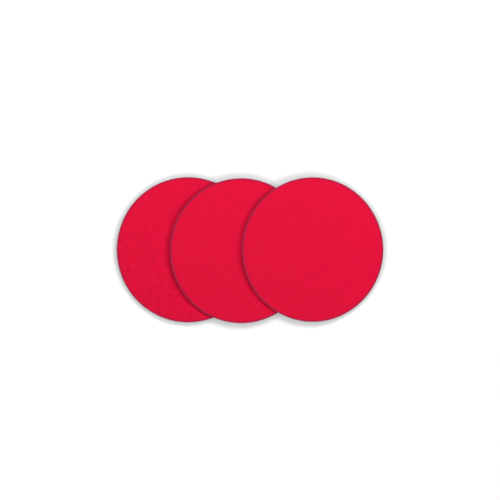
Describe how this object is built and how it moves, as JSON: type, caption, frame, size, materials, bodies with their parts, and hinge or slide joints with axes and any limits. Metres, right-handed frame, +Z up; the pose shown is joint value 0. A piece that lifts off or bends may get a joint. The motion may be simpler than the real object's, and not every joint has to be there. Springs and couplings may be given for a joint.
{
  "type": "floor sanding disc set",
  "caption": "Round red floor-sanding discs with loop backing, in coarse, medium and fine grain, laid in an overlapping row; they grip a floor machine's drive pad.",
  "frame": {"origin": "under the middle of the row, on the surface that the discs lie on", "axes": "+X along the row from the coarse disc to the fine one, +Y across the row, +Z up"},
  "size_m": [0.8106, 0.4354, 0.0154],
  "materials": {
    "coarse_grain": "matte",
    "medium_grain": "matte",
    "fine_grain": "satin",
    "backing_paper": "matte",
    "glue_film": "satin",
    "loop_fabric": "matte"
  },
  "bodies": {
    "coarse_disc": {"coarse_loop_fabric": "loop_fabric", "coarse_glue_film": "glue_film", "coarse_backing_paper": "backing_paper", "coarse_grain_coat": "coarse_grain"},
    "medium_disc": {"medium_loop_fabric": "loop_fabric", "medium_glue_film": "glue_film", "medium_backing_paper": "backing_paper", "medium_grain_coat": "medium_grain"},
    "fine_disc": {"fine_loop_fabric": "loop_fabric", "fine_glue_film": "glue_film", "fine_backing_paper": "backing_paper", "fine_grain_coat": "fine_grain"}
  },
  "joints": [
    {"name": "medium_lift", "type": "slide", "parent": "coarse_disc", "child": "medium_disc", "axis": [0, 0, 1], "range_m": [0, 0.06]},
    {"name": "fine_lift", "type": "slide", "parent": "medium_disc", "child": "fine_disc", "axis": [0, 0, 1], "range_m": [0, 0.06]}
  ]
}
